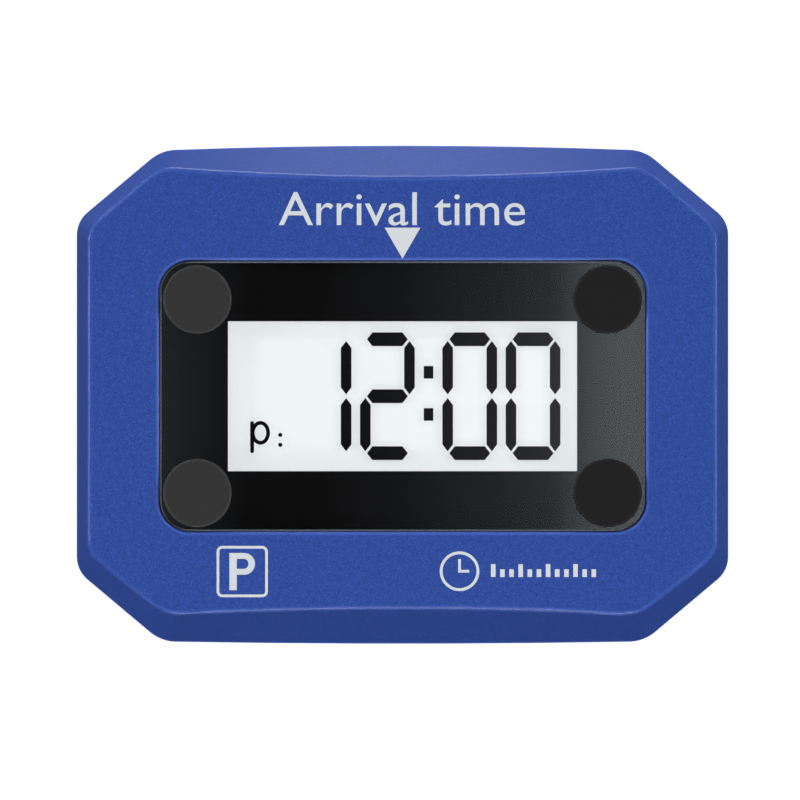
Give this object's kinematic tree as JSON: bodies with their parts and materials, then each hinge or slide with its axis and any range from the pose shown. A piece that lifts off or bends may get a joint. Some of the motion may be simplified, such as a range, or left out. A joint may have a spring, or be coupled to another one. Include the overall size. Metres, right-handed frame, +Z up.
{
  "type": "electronic parking disc",
  "caption": "Flat windscreen display of arrival time: two-part case, smoked lens, liquid crystal cell, keys, sliding battery door.",
  "frame": {"origin": "on the windscreen plane, which is the outer face of the four hook-and-loop dots, in the middle of their pattern", "axes": "-Y out of the display towards the windscreen and the reader, +X to the right as the reader sees it, +Z up"},
  "size_m": [0.102, 0.0207, 0.078],
  "materials": {
    "case_blue": "fine spark-eroded satin, blue ABS",
    "door_blue": "fine spark-eroded satin, blue ABS",
    "key_grey": "fine satin, light grey ABS",
    "lens_smoke": "polished, lightly smoked acrylic",
    "mask_black": "black screen print on the back of the lens",
    "tape_black": "thin double-sided tape",
    "hook_dark": "self-adhesive dot, smooth dull face",
    "glue": "soft clear adhesive",
    "polariser": "film",
    "cell_glass": "polished soda-lime glass",
    "reflector_white": "white diffuse film",
    "zebra_rubber": "layered silicone",
    "carrier_white": "moulded ABS",
    "board_green": "solder-masked glass-epoxy",
    "epoxy_black": "moulded epoxy",
    "tinned": "tinned",
    "crystal_can": "drawn can",
    "ceramic": "ceramic chips",
    "switch_black": "moulded nylon",
    "spring_steel": "nickel-plated",
    "screw_steel": "zinc-plated",
    "cell_can": "nickel-plated can",
    "cell_jacket": "printed film",
    "label_paper": "printed film label, left blank"
  },
  "bodies": {
    "case": {"board_screws": "screw_steel", "carrier_screws": "screw_steel", "case_screws": "screw_steel", "cell_jacket_lower": "cell_jacket", "cell_jacket_upper": "cell_jacket", "cell_lower": "cell_can", "cell_upper": "cell_can", "chip_parts": "ceramic", "circuit_board": "board_green", "contact_bridge": "spring_steel", "contact_negative": "spring_steel", "contact_positive": "spring_steel", "contact_spring_left": "spring_steel", "contact_spring_right": "spring_steel", "controller_chip": "epoxy_black", "controller_pins": "tinned", "display_carrier": "carrier_white", "dot_glue_lower_left": "glue", "dot_glue_lower_right": "glue", "dot_glue_upper_left": "glue", "dot_glue_upper_right": "glue", "front_bezel": "case_blue", "front_glass": "cell_glass", "front_polariser": "polariser", "hook_dot_lower_left": "hook_dark", "hook_dot_lower_right": "hook_dark", "hook_dot_upper_left": "hook_dark", "hook_dot_upper_right": "hook_dark", "lens": "lens_smoke", "lens_mask": "mask_black", "lens_tape": "tape_black", "motion_sensor": "epoxy_black", "quartz_crystal": "crystal_can", "rating_label": "label_paper", "rear_cover": "case_blue", "rear_glass": "cell_glass", "reflector": "reflector_white", "switch_base_minus": "switch_black", "switch_base_plus": "switch_black", "switch_base_set": "switch_black", "switch_dome_minus": "spring_steel", "switch_dome_plus": "spring_steel", "switch_dome_set": "spring_steel", "switch_shield_minus": "spring_steel", "switch_shield_plus": "spring_steel", "switch_shield_set": "spring_steel", "zebra_strip": "zebra_rubber"},
    "door": {"battery_door": "door_blue"},
    "key_minus": {"key_minus": "key_grey", "switch_plunger_minus": "switch_black"},
    "key_set": {"key_set": "key_grey", "switch_plunger_set": "switch_black"},
    "key_plus": {"key_plus": "key_grey", "switch_plunger_plus": "switch_black"}
  },
  "joints": [
    {"name": "door_slide", "type": "slide", "parent": "case", "child": "door", "axis": [0, 0, -1], "range_m": [0, 0.035]},
    {"name": "key_minus_press", "type": "slide", "parent": "case", "child": "key_minus", "axis": [0, -1, 0], "range_m": [0, 0.0003], "stiffness_N_per_m": 2000},
    {"name": "key_set_press", "type": "slide", "parent": "case", "child": "key_set", "axis": [0, -1, 0], "range_m": [0, 0.0003], "stiffness_N_per_m": 2000},
    {"name": "key_plus_press", "type": "slide", "parent": "case", "child": "key_plus", "axis": [0, -1, 0], "range_m": [0, 0.0003], "stiffness_N_per_m": 2000}
  ]
}
